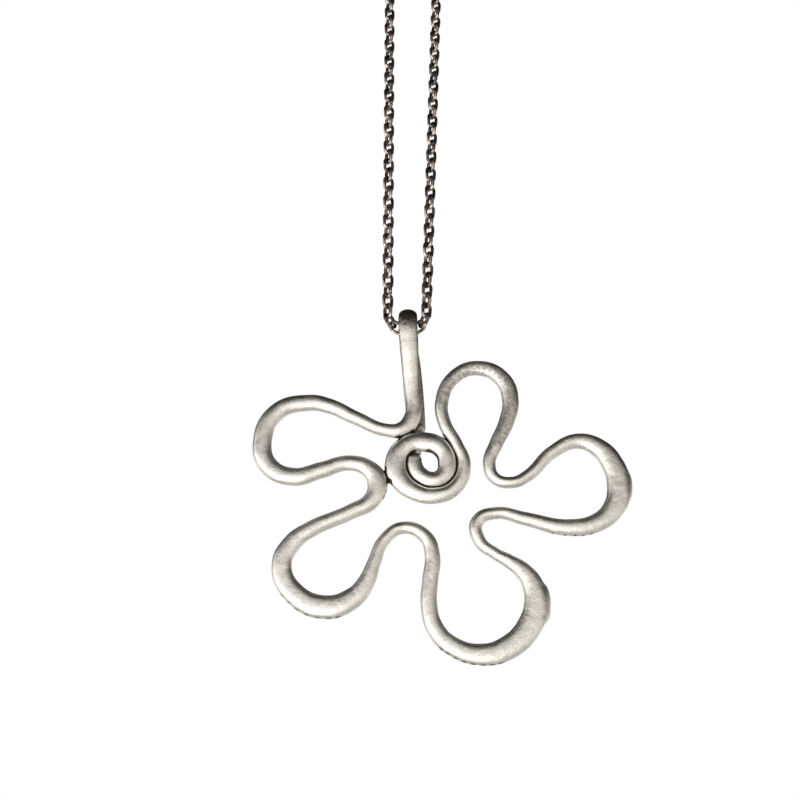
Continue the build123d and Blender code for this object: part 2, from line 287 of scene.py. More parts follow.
# %% [markdown]
# ## Effects of the finishes
# Hollows left by a hammer and hairlines left by wear come back in both metals, and dark oxide
# with painted shade fills the flower's recesses. They could be painted, but noise on the
# object's own coordinates needs no picture and stays sharp from close by. Each effect is a
# node group with named inputs, which only puts out masks and heights. The shader stays in each
# material.

# %% Helpers for node groups


def new_group(name, inputs, outputs):
    """An empty node group with named number inputs and outputs, and its two end nodes."""
    group = bpy.data.node_groups.new(name, "ShaderNodeTree")
    for label, value in inputs.items():
        socket = group.interface.new_socket(label, in_out="INPUT", socket_type="NodeSocketFloat")
        socket.default_value = value
    for label in outputs:
        group.interface.new_socket(label, in_out="OUTPUT", socket_type="NodeSocketFloat")
    start = group.nodes.new("NodeGroupInput")
    end = group.nodes.new("NodeGroupOutput")
    return group, start, end


def add_noise(tree, scale, detail, place=None, roughness=0.5):
    """A noise node on Object coordinates, or on the place that it is given."""
    node = tree.nodes.new("ShaderNodeTexNoise")
    node.inputs["Detail"].default_value = detail
    node.inputs["Roughness"].default_value = roughness
    if place is None:
        place = tree.nodes.new("ShaderNodeTexCoord").outputs["Object"]
    tree.links.new(place, node.inputs["Vector"])
    tree.links.new(scale, node.inputs["Scale"])
    return node.outputs["Fac"]


# %% Hammered hollows
grain_fineness = 9.0
grain_roughness = 0.65
hollow_span = (0.38, 0.62)


def make_planish_group():
    """Soft hollows with a fine grain over them, as a hammer and emery leave them."""
    inputs = {"Scale": 500.0, "Grain": 0.3}
    group, start, end = new_group("planished metal", inputs, ["Height", "Mask", "Grain"])
    hollows = add_noise(group, start.outputs["Scale"], detail=2.0)
    grain_scale = add_math(group, "MULTIPLY", start.outputs["Scale"], grain_fineness)
    grain = add_noise(group, grain_scale, detail=3.0, roughness=grain_roughness)
    share = add_math(group, "MULTIPLY", grain, start.outputs["Grain"])
    group.links.new(add_math(group, "ADD", hollows, share), end.inputs["Height"])
    group.links.new(add_ramp(group, hollows, hollow_span), end.inputs["Mask"])
    group.links.new(add_ramp(group, grain, hollow_span), end.inputs["Grain"])
    return group


planish_group = make_planish_group()
print("group", planish_group.name)

# %% Hairline scratches
hairline_turns = (0.5, -0.9)
hairline_span = (0.62, 0.72)


def make_scratch_group():
    """Hairlines in two directions, a noise that is stretched until it looks drawn."""
    inputs = {"Scale": 1500.0, "Stretch": 0.06}
    group, start, end = new_group("hairline scratches", inputs, ["Mask"])
    coordinates = group.nodes.new("ShaderNodeTexCoord").outputs["Object"]
    masks = []
    for turn in hairline_turns:
        mapping = group.nodes.new("ShaderNodeMapping")
        mapping.inputs["Rotation"].default_value = (0, turn, 0)
        stretch = group.nodes.new("ShaderNodeCombineXYZ")
        stretch.inputs["Y"].default_value = 1.0
        stretch.inputs["Z"].default_value = 1.0
        group.links.new(start.outputs["Stretch"], stretch.inputs["X"])
        group.links.new(coordinates, mapping.inputs["Vector"])
        drawn = group.nodes.new("ShaderNodeVectorMath")
        drawn.operation = "MULTIPLY"
        group.links.new(mapping.outputs["Vector"], drawn.inputs[0])
        group.links.new(stretch.outputs["Vector"], drawn.inputs[1])
        place = drawn.outputs["Vector"]
        lines = add_noise(group, start.outputs["Scale"], detail=2.0, place=place)
        masks.append(add_ramp(group, lines, hairline_span))
    group.links.new(add_math(group, "MAXIMUM", *masks), end.inputs["Mask"])
    return group


scratch_group = make_scratch_group()
print("group", scratch_group.name)

# %% Oxide and painted shade in recesses
# The mask of dark oxide and painted shade; noise breaks its edge by this share.
broken_edge_share = 0.6
oxide_and_shade_span = (0.25, 0.8)


def make_oxide_and_shade_group():
    """Where patina and painted shade darken the metal: solid where the mark is deep, its edge
    broken by noise.
    """
    inputs = {"Oxide and shade": 0.0, "Scale": 900.0}
    group, start, end = new_group("patina and painted shade", inputs, ["Mask"])
    broken_edge_noise = add_noise(group, start.outputs["Scale"], detail=3.0)
    spread = add_math(group, "MULTIPLY", add_math(group, "SUBTRACT", broken_edge_noise, 0.5), broken_edge_share)
    deep = add_math(group, "ADD", start.outputs["Oxide and shade"], spread)
    group.links.new(add_ramp(group, deep, oxide_and_shade_span), end.inputs["Mask"])
    return group


oxide_and_shade_group = make_oxide_and_shade_group()
print("group", oxide_and_shade_group.name)

# %% [markdown]
# ## The two silvers
# Both metals are the same silver. The flower is brushed satin and pale, with dark oxide and
# painted shade in its seams, painted shade on a few edges and undersides, and the top of the
# bail made darker. The chain was dipped dark all over, and its high spots are rubbed bright
# again. One material with a switch could serve both, but two short ones are easier to read.
# Values that are the same everywhere sit on the shader.

# %% Helpers for the metals


def use_group(tree, group, **values):
    """Places a node group in a material, with the values that this metal wants."""
    node = tree.nodes.new("ShaderNodeGroup")
    node.node_tree = group
    for label, value in values.items():
        node.inputs[label].default_value = value
    return node


def vary_roughness(tree, mask, middle, change):
    """Roughness that a mask takes from half a change below the middle to half above it."""
    return add_math(tree, "ADD", add_math(tree, "MULTIPLY", mask, change), middle - change / 2)


def add_bump(tree, shader, heights):
    """One bump node for each pair of height and depth in metres, one feeding the next."""
    normal = None
    for height, depth in heights:
        node = tree.nodes.new("ShaderNodeBump")
        node.inputs["Strength"].default_value = 1.0
        node.inputs["Distance"].default_value = depth
        tree.links.new(height, node.inputs["Height"])
        if normal is not None:
            tree.links.new(normal, node.inputs["Normal"])
        normal = node.outputs["Normal"]
    tree.links.new(normal, shader.inputs["Normal"])


# %% Satin silver for the flower
silver_colour = (0.92, 0.895, 0.845)
dull_colour = (0.74, 0.71, 0.665)
worn_colour = (0.95, 0.93, 0.89)
# The near black of oxide in the seams and of painted shade on edges, undersides and the bail.
oxide_and_shade_colour = (0.075, 0.065, 0.048)
satin_roughness = 0.36
hollow_roughness = 0.10
oxide_and_shade_roughness = 0.3
satin_relief = 0.06 * MM
scratch_relief = -0.005 * MM


def make_satin_silver():
    """Pale brushed silver, hammered, scratched, and darkened by oxidised seams and painted shade.
    """
    material, tree, shader = new_material(
        "satin silver", silver_colour, satin_roughness, metallic=1.0
    )
    planish = use_group(tree, planish_group, Scale=420.0, Grain=0.7)
    scratches = use_group(tree, scratch_group, Scale=2600.0, Stretch=0.05)
    oxide_and_shade_mask = use_group(tree, oxide_and_shade_group, Scale=2200.0)
    oxide_and_shade = tree.nodes.new("ShaderNodeAttribute")
    oxide_and_shade.attribute_name = "oxide_and_shade"
    tree.links.new(oxide_and_shade.outputs["Fac"], oxide_and_shade_mask.inputs["Oxide and shade"])
    metal = mix_colours(tree, planish.outputs["Grain"], dull_colour, silver_colour)
    metal = mix_colours(tree, scratches.outputs["Mask"], metal, worn_colour)
    # Painted shade, with oxide in the seams: where the attribute is high the metal turns near
    # black.
    colour = mix_colours(tree, oxide_and_shade_mask.outputs["Mask"], metal, oxide_and_shade_colour)
    tree.links.new(colour, shader.inputs["Base Color"])
    rough = vary_roughness(tree, planish.outputs["Mask"], satin_roughness, hollow_roughness)
    rougher_where_dark = add_math(tree, "MULTIPLY", oxide_and_shade_mask.outputs["Mask"], oxide_and_shade_roughness)
    tree.links.new(add_math(tree, "ADD", rough, rougher_where_dark), shader.inputs["Roughness"])
    hollows = (planish.outputs["Height"], satin_relief)
    add_bump(tree, shader, [hollows, (scratches.outputs["Mask"], scratch_relief)])
    return material


satin_silver = make_satin_silver()
print("material", satin_silver.name)

# %% Dark silver for the chain
dark_colour = (0.095, 0.074, 0.066)
rubbed_colour = (0.52, 0.46, 0.42)
dark_roughness = 0.3
rubbed_roughness = -0.08
dark_relief = 0.02 * MM


def make_dark_silver():
    """Oxidised silver, nearly black, rubbed bright in patches."""
    material, tree, shader = new_material(
        "oxidised silver", dark_colour, dark_roughness, metallic=1.0
    )
    planish = use_group(tree, planish_group, Scale=900.0, Grain=0.4)
    scratches = use_group(tree, scratch_group, Scale=3000.0, Stretch=0.08)
    rubbed = add_math(tree, "MAXIMUM", scratches.outputs["Mask"], planish.outputs["Mask"])
    colour = mix_colours(tree, rubbed, dark_colour, rubbed_colour)
    tree.links.new(colour, shader.inputs["Base Color"])
    rough = vary_roughness(tree, planish.outputs["Mask"], dark_roughness, rubbed_roughness)
    tree.links.new(rough, shader.inputs["Roughness"])
    add_bump(tree, shader, [(planish.outputs["Height"], dark_relief)])
    return material


dark_silver = make_dark_silver()
print("material", dark_silver.name)

# %% [markdown]
# ## The wire
# A bent wire could be a skinned chain of edges or an array along a path. A Bezier curve with a
# round profile is nearest to how it is made: the goldsmith bends a wire, and then forges it.
# So the curve is bent first through the places where the real wire turns, and after it has
# become a mesh, each of its rings is forged to its own width and thickness.

# %% Where the wire runs
flower_span = 55.0 * MM
wire_width = 2.5 * MM
wire_thickness = 2.0 * MM

# Columns: bend, across and up from the foot in hundredths of flower_span,
# width in shares of wire_width, thickness in shares of wire_thickness.
wire_rows = [
    ("hub end", 0.5, -14.6, 0.72, 0.72),
    ("hub end", 0.7, -17.5, 0.90, 0.85),
    ("hub inner turn", 2.3, -20.2, 0.98, 0.95),
    ("hub inner turn", 5.3, -21.5, 0.98, 0.95),
    ("hub inner turn", 8.3, -20.2, 1.06, 0.95),
    ("hub inner turn", 9.3, -16.7, 1.12, 0.95),
    ("hub inner turn", 8.0, -12.9, 1.13, 0.95),
    ("hub inner turn", 3.6, -10.8, 1.18, 0.95),
    ("hub outer turn", -1.8, -12.2, 1.20, 0.95),
    ("hub outer turn", -4.3, -17.2, 1.24, 0.95),
    ("hub outer turn", -2.7, -22.0, 1.16, 0.95),
    ("hub outer turn", 1.1, -24.9, 1.04, 0.95),
    ("hub outer turn", 6.0, -25.7, 0.98, 0.95),
    ("hub outer turn", 11.1, -23.5, 0.92, 0.95),
    ("hub outer turn", 13.6, -17.4, 0.80, 0.95),
    ("hub outer turn", 11.5, -11.0, 0.75, 0.95),
    ("upper right petal", 8.6, -5.4, 0.76, 0.95),
    ("upper right petal", 7.7, 0.8, 0.78, 0.95),
    ("upper right petal", 11.4, 8.9, 0.82, 0.95),
    ("upper right petal", 17.9, 11.5, 0.92, 0.95),
    ("upper right petal", 24.0, 8.6, 1.04, 0.95),
    ("upper right petal", 26.3, 2.1, 1.00, 0.95),
    ("upper right petal", 25.0, -4.7, 0.90, 0.95),
    ("upper right petal", 22.2, -10.9, 0.80, 0.90),
    ("right valley", 20.3, -16.9, 0.73, 0.90),
    ("right valley", 21.8, -20.7, 0.68, 0.85),
    ("right valley", 26.2, -21.7, 0.65, 0.85),
    ("right valley", 30.1, -19.9, 0.69, 0.85),
    ("right petal", 37.2, -12.8, 0.76, 0.90),
    ("right petal", 44.0, -9.6, 0.88, 0.95),
    ("right petal", 49.6, -11.6, 1.16, 1.00),
    ("right petal", 52.8, -16.0, 1.30, 1.05),
    ("right petal", 54.1, -22.2, 1.42, 1.05),
    ("right petal", 52.2, -28.3, 1.20, 1.00),
    ("right petal", 47.8, -32.2, 1.04, 0.95),
    ("right petal", 40.3, -33.7, 0.96, 0.95),
    ("right petal", 29.0, -31.5, 0.74, 0.90),
    ("lower right valley", 21.9, -30.2, 0.66, 0.85),
    ("lower right valley", 17.0, -32.6, 0.76, 0.85),
    ("lower right valley", 17.5, -37.8, 0.70, 0.85),
    ("lower right valley", 21.3, -41.0, 0.62, 0.85),
    ("bottom petal", 24.9, -43.0, 0.76, 0.90),
    ("bottom petal", 28.4, -45.5, 0.96, 0.95),
    ("bottom petal", 30.8, -49.2, 1.20, 1.00),
    ("bottom petal", 31.5, -53.6, 1.40, 1.05),
    ("bottom petal", 29.7, -59.1, 1.36, 1.05),
    ("bottom petal", 24.6, -64.5, 1.30, 1.05),
    ("bottom petal", 17.9, -66.6, 1.14, 1.00),
    ("bottom petal", 10.4, -64.6, 1.00, 0.95),
    ("bottom petal", 6.2, -60.3, 0.96, 0.95),
    ("bottom petal", 4.7, -54.2, 0.91, 0.95),
    ("bottom petal", 5.0, -48.3, 0.90, 0.90),
    ("lower valley", 5.5, -42.2, 0.88, 0.90),
    ("lower valley", 3.7, -37.0, 0.78, 0.85),
    ("lower valley", -2.0, -34.7, 0.68, 0.85),
    ("lower valley", -6.9, -38.2, 0.67, 0.85),
    ("lower left petal", -9.2, -44.0, 0.74, 0.90),
    ("lower left petal", -11.0, -49.0, 0.94, 0.95),
    ("lower left petal", -14.3, -53.3, 1.18, 1.00),
    ("lower left petal", -21.3, -55.7, 1.32, 1.05),
    ("lower left petal", -29.3, -52.0, 1.16, 1.00),
    ("lower left petal", -32.5, -45.4, 1.12, 1.00),
    ("lower left petal", -30.2, -39.4, 1.06, 0.95),
    ("lower left petal", -25.8, -35.7, 0.90, 0.95),
    ("lower left petal", -15.6, -30.7, 0.84, 0.90),
    ("left valley", -10.2, -27.2, 1.02, 0.95),
    ("left valley", -9.1, -22.4, 1.16, 0.95),
    ("left valley", -11.3, -18.8, 1.02, 0.95),
    ("left valley", -16.4, -17.2, 0.86, 0.90),
    ("left petal", -23.8, -19.4, 0.96, 0.95),
    ("left petal", -31.0, -21.4, 1.04, 1.00),
    ("left petal", -37.4, -18.7, 1.10, 1.00),
    ("left petal", -39.8, -11.6, 1.10, 1.00),
    ("left petal", -36.3, -2.8, 1.06, 1.00),
    ("left petal", -27.9, 0.0, 0.99, 0.95),
    ("left petal", -22.4, -0.9, 0.92, 0.95),
    ("left petal", -15.5, -4.1, 0.82, 0.90),
    ("foot bend", -6.8, -7.6, 0.74, 0.90),
    ("foot bend", -2.7, -7.1, 0.94, 0.90),
    ("foot bend", -0.4, -4.2, 0.98, 0.85),
    ("foot", 0.2, 0.0, 0.88, 0.80),
]
print("bends of the flower", len(wire_rows))

# %% Where the bail runs
bail_height = 12.9 * MM
bail_shift = -1.0 * MM
bail_width = 2.9 * MM
bail_thickness = 1.2 * MM
bail_inside = 1.5 * MM
rear_leg_height = 17.3 * MM
rear_leg_shift = 0.8 * MM
rear_leg_sway = 0.4 * MM
rear_leg_width = 2.3 * MM
rear_leg_flare = 0.6 * MM
rear_leg_thickness = 0.9 * MM
solder_gap = 0.1 * MM
foot = bail_eye - Vector((bail_shift, 0, bail_height))
# Shares of the way up the front leg, angles round the loop, shares of the way down behind.
front_shares = (0.22, 0.48, 0.76)
loop_angles = range(0, 181, 30)
rear_shares = (0.35, 0.7, 1.0)
# How much of its narrowing the wire does on the loop, how late the rear leg comes in, and
# where its sway starts and its flare ends.
loop_taper = 0.6
rear_lean = 1.5
sway_start = 0.4
flare_end = 0.9


def between(low, high, share):
    """The value a share of the way from low to high."""
    return low + (high - low) * share


def bail_rows():
    """Rows of the wire past the foot: up the front leg, over the loop and down behind."""
    reach = bail_inside + bail_thickness / 2
    front, up = Vector((0, -1, 0)), Vector((0, 0, 1))
    foot_width, foot_thickness = wire_rows[-1][3] * wire_width, wire_rows[-1][4] * wire_thickness
    rear_end = foot + Vector((rear_leg_shift, 0, bail_height - rear_leg_height))
    rear_y = foot_thickness / 2 + rear_leg_thickness / 2 + solder_gap
    rows = []
    for share in front_shares:
        eased = 3 * share**2 - 2 * share**3
        spot = foot.lerp(bail_eye, share) + front * reach * eased
        width = between(foot_width, bail_width, share)
        rows.append((spot, width, between(foot_thickness, bail_thickness, share)))
    for angle in loop_angles:
        out = front * math.cos(math.radians(angle)) + up * math.sin(math.radians(angle))
        width = between(bail_width, rear_leg_width, loop_taper * angle / 180)
        rows.append((bail_eye + out * reach, width, bail_thickness))
    for share in rear_shares:
        spot = bail_eye.lerp(rear_end, share)
        spot.y = between(reach, rear_y, share**rear_lean)
        spot.x += rear_leg_sway * (sway_start - share / 2)
        width = between(bail_width, rear_leg_width, between(loop_taper, 1, share))
        width += rear_leg_flare * math.sin(math.pi * flare_end * share)
        rows.append((spot, width, between(bail_thickness, rear_leg_thickness, share)))
    return rows


def all_rows():
    """Place, width and thickness of the wire at every bend, from the hub to the bail's end."""
    rows = []
    for _, across, up, width, thickness in wire_rows:
        spot = foot + Vector((across, 0, up)) * (flower_span / 100)
        rows.append((spot, width * wire_width, thickness * wire_thickness))
    return rows + bail_rows()


rows = all_rows()
foot_row = len(wire_rows) - 1
loop_row = foot_row + 1 + len(front_shares)
last_row = len(rows) - 1
print("bends with the bail", len(rows))

# %% Bend the wire
steps_per_row = 16
profile_sides = 36


def bend_wire(rows):
    """A Bezier curve through every row, with a round bevel, made a mesh of rings."""
    bpy.ops.curve.primitive_bezier_circle_add(radius=1)
    profile = bpy.context.object
    profile.data.resolution_u = profile_sides // 4
    bpy.ops.curve.primitive_bezier_curve_add(location=(0, 0, 0))
    wire = bpy.context.object
    wire.name = "flower_wire_bent"
    spline = wire.data.splines[0]
    spline.bezier_points.add(len(rows) - len(spline.bezier_points))
    for point, (spot, width, _) in zip(spline.bezier_points, rows):
        point.co = spot
        point.radius = width / 2
        point.handle_left_type = point.handle_right_type = "AUTO"
    wire.data.resolution_u = steps_per_row
    wire.data.twist_mode = "MINIMUM"
    wire.data.bevel_mode = "OBJECT"
    wire.data.bevel_object = profile
    bpy.ops.object.convert(target="MESH")
    bpy.data.objects.remove(profile)
    return wire


wire = bend_wire(rows)
ring_count = len(wire.data.vertices) // profile_sides
in_flower = np.arange(ring_count) < foot_row * steps_per_row
print("rings", ring_count, "vertices", len(wire.data.vertices), "faces", len(wire.data.polygons))

# %% [markdown]
# ## Forging
# Hammering spreads the wire where the petals turn and thins it in the valleys. A Taper curve
# or sculpting could do this roughly. Here the rings of the mesh are moved by number, because
# each of them can then have its own width, thickness and section, between an oval and a
# rounded bar. Two petals get a spread edge where the real wire bulges over its side, the
# bail's loop a crown on its outside, both ends are rounded off, and turns that lie side by
# side are pressed together.

# %% Smooth values along the wire


def mesh_points(piece):
    """The places of all vertices of a piece, one row each."""
    points = np.empty(len(piece.data.vertices) * 3)
    piece.data.vertices.foreach_get("co", points)
    return points.reshape(-1, 3)


def ease(values, reach):
    """Values at the rings, smoothed over so many rings on each side."""
    window = np.hanning(2 * reach + 1)
    return np.convolve(np.pad(values, reach, mode="edge"), window / window.sum(), mode="valid")


def smooth_rows(values):
    """Values at the rows, drawn out to every ring and eased so that no row shows."""
    rings = np.linspace(0, len(values) - 1, ring_count)
    return ease(np.interp(rings, range(len(values)), values), steps_per_row)


def hump(rings, middle, half):
    """A smooth hump over the rows, 1 at its middle and gone two half lengths away."""
    return np.exp(-(((rings / steps_per_row - middle) / half) ** 2))


def plateau(rings, span):
    """Rises from 0 to 1 between the first two rows of a span and falls between the last two."""
    share = np.interp(rings / steps_per_row, span, (0, 1, 1, 0))
    return share**2 * (3 - 2 * share)


# %% Find which way every ring lies


def unit(vectors):
    """The same directions with length 1."""
    return vectors / np.linalg.norm(vectors, axis=-1, keepdims=True)


def run_length(centres):
    """How far along the wire every ring is."""
    return np.concatenate([[0], np.cumsum(np.linalg.norm(np.diff(centres, axis=0), axis=1))])


def ring_axes(centres):
    """Sideways and backwards directions of every ring."""
    along = unit(np.gradient(centres, axis=0))
    side = np.where(in_flower[:, None], np.cross(along, (0, -1, 0)), np.array([1.0, 0, 0]))
    side = unit(side - along * np.sum(side * along, axis=1)[:, None])
    return side, np.cross(along, side)


# %% Find the turns that lie side by side
turn_apart = 6 * MM
pressed_gap = 0.05 * MM
# Gaps up to the first are closed to pressed_gap, and gaps past the second are left.
pressed_from = (0.3 * MM, 0.75 * MM)


def nearest_turns(centres, side, half_width, facing):
    """For every ring the nearest ring of another turn on one side of it, and the gap there."""
    run = run_length(centres)
    others, gaps = np.zeros(ring_count, int), np.full(ring_count, np.inf)
    for index in np.flatnonzero(in_flower):
        away = centres - centres[index]
        on_side = facing * (away @ side[index]) > 0
        apart = on_side & in_flower & (np.abs(run - run[index]) > turn_apart)
        if not apart.any():
            continue
        space = np.linalg.norm(away, axis=1) - half_width - half_width[index]
        space = np.where(apart, space, np.inf)
        others[index] = np.argmin(space)
        gaps[index] = space[others[index]]
    return others, gaps


def pressed(gaps):
    """What is left of the gaps between turns once they are pressed together."""
    near, far = pressed_from
    share = np.clip((far - gaps) / (far - near), 0, 1)
    return np.where(share > 0, gaps - share * (gaps - pressed_gap), gaps)


# %% Marks of the hammer
# Powers of the section's outline: 2 is an oval, more is squarer.
oval_power = 2.0
bar_power = 2.8
bail_power = 1.9
# Columns: place, middle and half length in rows of the wire, share of the way to a bar.
flat_rows = [
    ("right petal side", 32.5, 3.0, 0.7),
    ("bottom petal side", 45.5, 4.0, 0.9),
    ("lower left petal side", 59.5, 3.0, 0.9),
    ("left petal side", 71.5, 2.5, 0.5),
]
# Columns: place, rows where the spread edge starts, is full, falls and ends, its size, and how
# far the rest of that side is drawn in.
spread_rows = [
    ("right petal edge", (31.3, 31.65, 31.9, 33.2), 0.65 * MM, 0.25 * MM),
    ("bottom petal edge", (42.9, 43.25, 44.4, 44.8), 0.70 * MM, 0.30 * MM),
]
spread_side = math.radians(155)
spread_power = 5
crown = 0.4
crown_span = (loop_row, loop_row + 2, loop_row + 4, loop_row + 6)
end_round = (0.55 * MM, 1.2 * MM)
pressed_ease = 12
thinnest_half = 0.4 * MM


def bar_share(rings):
    """How far the section of every ring is from an oval towards a bar."""
    bar = np.zeros(ring_count)
    for _, middle, half, share in flat_rows:
        bar = np.maximum(bar, share * hump(rings, middle, half))
    return bar


def rounded_ends(centres):
    """A factor for every ring that closes both ends of the wire in a round."""
    run, factor = run_length(centres), np.ones(ring_count)
    for reach, radius in zip((run, run[-1] - run), end_round):
        left = np.clip(reach / radius, 0, 1)
        factor *= np.sqrt(1 - (1 - left) ** 2)
    return factor


def squared(part, power):
    """The cosine or sine of an angle, bent so that a circle's outline gets another power."""
    return np.sign(part) * np.abs(part) ** (2 / power[:, None])


# %% Forge every ring


def press_turns(centres, side, half_width, across):
    """Widens the wire on each side where another turn lies close, until they almost touch."""
    for facing in (1, -1):
        _, gaps = nearest_turns(centres, side, half_width, facing)
        gaps = np.minimum(gaps, pressed_from[1])
        widening = (gaps - pressed(gaps)) / 2 / np.maximum(half_width, thinnest_half)
        stretch = 1 + ease(widening, pressed_ease)
        across = np.where(facing * across > 0, across * stretch[:, None], across)
    return across


def forge_wire(wire):
    """Gives each ring its width, thickness, section and edges, and presses turns together."""
    rings = np.arange(ring_count)
    points = mesh_points(wire).reshape(ring_count, profile_sides, 3)
    centres = points.mean(axis=1)
    side, back = ring_axes(centres)
    offsets = points - centres[:, None]
    sideways, backwards = (np.einsum("rpk,rk->rp", offsets, axis) for axis in (side, back))
    angle = np.arctan2(backwards, sideways)
    bar = bar_share(rings)
    power = between(oval_power, bar_power, bar)
    power[(loop_row - 1) * steps_per_row:] = bail_power
    ends = rounded_ends(centres)
    half_width = smooth_rows([row[1] for row in rows]) / 2 * ends
    half_depth = smooth_rows([row[2] for row in rows]) / 2 * ends
    across = squared(np.cos(angle), power) * half_width[:, None]
    deep = squared(np.sin(angle), power) * half_depth[:, None]
    for _, span, spread, trim in spread_rows:
        edge = np.clip(np.cos(angle - spread_side), 0, 1) ** spread_power
        change = spread * edge - trim * np.clip(-np.cos(angle), 0, 1)
        across -= change * plateau(rings, span)[:, None]
    crowned = 1 + crown * plateau(rings, crown_span)[:, None]
    deep = np.where(deep < 0, deep * crowned, deep)
    across = press_turns(centres, side, half_width, across)
    points = centres[:, None] + side[:, None] * across[..., None] + back[:, None] * deep[..., None]
    wire.data.vertices.foreach_set("co", points.ravel())
    wire.data.update()
    return centres, side, half_width, bar


centres, side, half_width, bar = forge_wire(wire)
print("length of the wire", round(run_length(centres)[-1] / MM, 1))

# %% Close both ends
merge_gap = 0.002 * MM
# The weight of the finer hollows where the wire stays an oval.
forged_least = 0.35


def pick(piece):
    """Selects one piece alone and makes it the active one."""
    bpy.ops.object.select_all(action="DESELECT")
    bpy.context.view_layer.objects.active = piece
    piece.select_set(True)


def edit(piece, select="SELECT"):
    """Opens one piece alone in edit mode, with everything in it selected or nothing."""
    pick(piece)
    bpy.ops.object.mode_set(mode="EDIT")
    bpy.ops.mesh.select_all(action=select)


def clean_mesh(piece):
    """Merges vertices that lie on each other and turns every face outwards."""
    edit(piece)
    bpy.ops.mesh.remove_doubles(threshold=merge_gap)
    bpy.ops.mesh.normals_make_consistent(inside=False)
    bpy.ops.object.mode_set(mode="OBJECT")


def mark_group(piece, name, weights):
    """A vertex group with a weight for every vertex."""
    group = piece.vertex_groups.new(name=name)
    for index, weight in enumerate(weights):
        group.add([index], float(weight), "REPLACE")


mark_group(wire, "forged", np.repeat(np.clip(forged_least + bar, 0, 1), profile_sides))
clean_mesh(wire)
print("closed wire", len(wire.data.vertices), "vertices")

# %% [markdown]
# ## Solder in the seams
# The hub's turns, the foot of the bail and the left valley are soldered where they meet. The
# seams are found by measuring: a place is a seam if the wire runs past another stretch of
# itself less than a small gap away. A remesh of everything would join the turns too, but it
# would blur their edges. So a bead of solder is laid along each seam, a little behind the
# middle, so that a dark groove stays in front, and is united with the wire. Three drops are
# added where ends are soldered: behind the foot, on the bail's end and on the curled end.

# %% Find the seams
seam_gap = 0.65 * MM
seam_break = 2 * seam_gap
bead_step = 6


def find_seams():
    """Runs of places where two turns of the wire meet, each with the gap there."""
    runs = []
    for facing in (1, -1):
        others, gaps = nearest_turns(centres, side, half_width, facing)
        gaps = pressed(np.minimum(gaps, seam_break))
        last = None
        for index in np.flatnonzero((gaps < seam_gap) & (others > np.arange(ring_count))):
            other = others[index]
            away = np.linalg.norm(centres[other] - centres[index])
            share = (half_width[index] + gaps[index] / 2) / away
            spot = between(centres[index], centres[other], share)
            if last is None or np.linalg.norm(spot - last) > seam_break:
                runs.append([])
            runs[-1].append((spot, max(gaps[index], 0)))
            last = spot
    return [run for run in runs if len(run) > bead_step]


seams = find_seams()
print("seams", [(len(seam), round(min(gap for _, gap in seam) / MM, 2)) for seam in seams])

# %% Lay the beads
bead_bite = 0.22 * MM
bead_back = 0.2 * MM
bead_end = 0.6
bead_fineness = 3


def lay_bead(name, seam):
    """A bead of solder along one seam, as thick as the gap there and a bite more."""
    count = max(2, len(seam) // bead_step)
    places = [seam[round(spot)] for spot in np.linspace(0, len(seam) - 1, count + 1)]
    bpy.ops.curve.primitive_bezier_curve_add(location=(0, 0, 0))
    bead = bpy.context.object
    bead.name = name
    spline = bead.data.splines[0]
    spline.bezier_points.add(len(places) - 2)
    for point, (spot, gap) in zip(spline.bezier_points, places):
        point.co = Vector(spot) + Vector((0, bead_back, 0))
        point.radius = gap / 2 + bead_bite
        point.handle_left_type = point.handle_right_type = "AUTO"
    for point in (spline.bezier_points[0], spline.bezier_points[-1]):
        point.radius *= bead_end
    bead.data.bevel_depth = 1.0
    bead.data.bevel_resolution = bead.data.resolution_u = bead_fineness
    bead.data.use_fill_caps = True
    bpy.ops.object.convert(target="MESH")
    clean_mesh(bead)
    return bead


def unite(piece, other):
    """Makes one closed body of two, and removes the second."""
    pick(piece)
    union = piece.modifiers.new("union", "BOOLEAN")
    union.operation = "UNION"
    union.solver = "MANIFOLD"
    union.object = other
    bpy.ops.object.modifier_apply(modifier=union.name)
    bpy.data.objects.remove(other)


for number, seam in enumerate(seams):
    unite(wire, lay_bead(f"bead_{number}", seam))
print("wire with beads", len(wire.data.vertices), "vertices")

# %% Add the drops
drop_sides, drop_rings = 24, 16
foot_back = rows[foot_row][2] / 2
# Columns: joint, middle of its drop, size.
drops = [
    ("behind the foot", foot + Vector((rear_leg_shift / 2, foot_back, 0)), 1.4 * MM),
    ("end of the bail", rows[last_row][0] + Vector((-0.5, -0.5, -0.1)) * MM, 1.7 * MM),
    ("curled end", foot + Vector((0.7, 0.3, -7.5)) * MM, 1.3 * MM),
]


def lay_drop(middle, size):
    """A round drop of solder."""
    bpy.ops.mesh.primitive_uv_sphere_add(
        segments=drop_sides, ring_count=drop_rings, radius=size / 2, location=middle
    )
    drop = bpy.context.object
    bpy.ops.object.transform_apply(location=True, rotation=True, scale=True)
    return drop


for _, middle, size in drops:
    unite(wire, lay_drop(middle, size))
print("soldered wire", len(wire.data.vertices), "vertices")

# %% [markdown]
# ## The hammered surface
# Shape that can be seen has to be in the mesh. Hollows could be sculpted one by one, but a
# Displace modifier presses in a whole pattern that comes out the same each time. Broad ones
# go all over, and finer, deeper ones where the metal was spread. The fine grain is left to
# the material's bump.

# %% Press in the hollows
# Columns: name, size and depth of the hollows, vertex group.
hollow_kinds = [
    ("broad hollows", 2.2 * MM, 0.02 * MM, ""),
    ("forged hollows", 0.9 * MM, 0.05 * MM, "forged"),
]


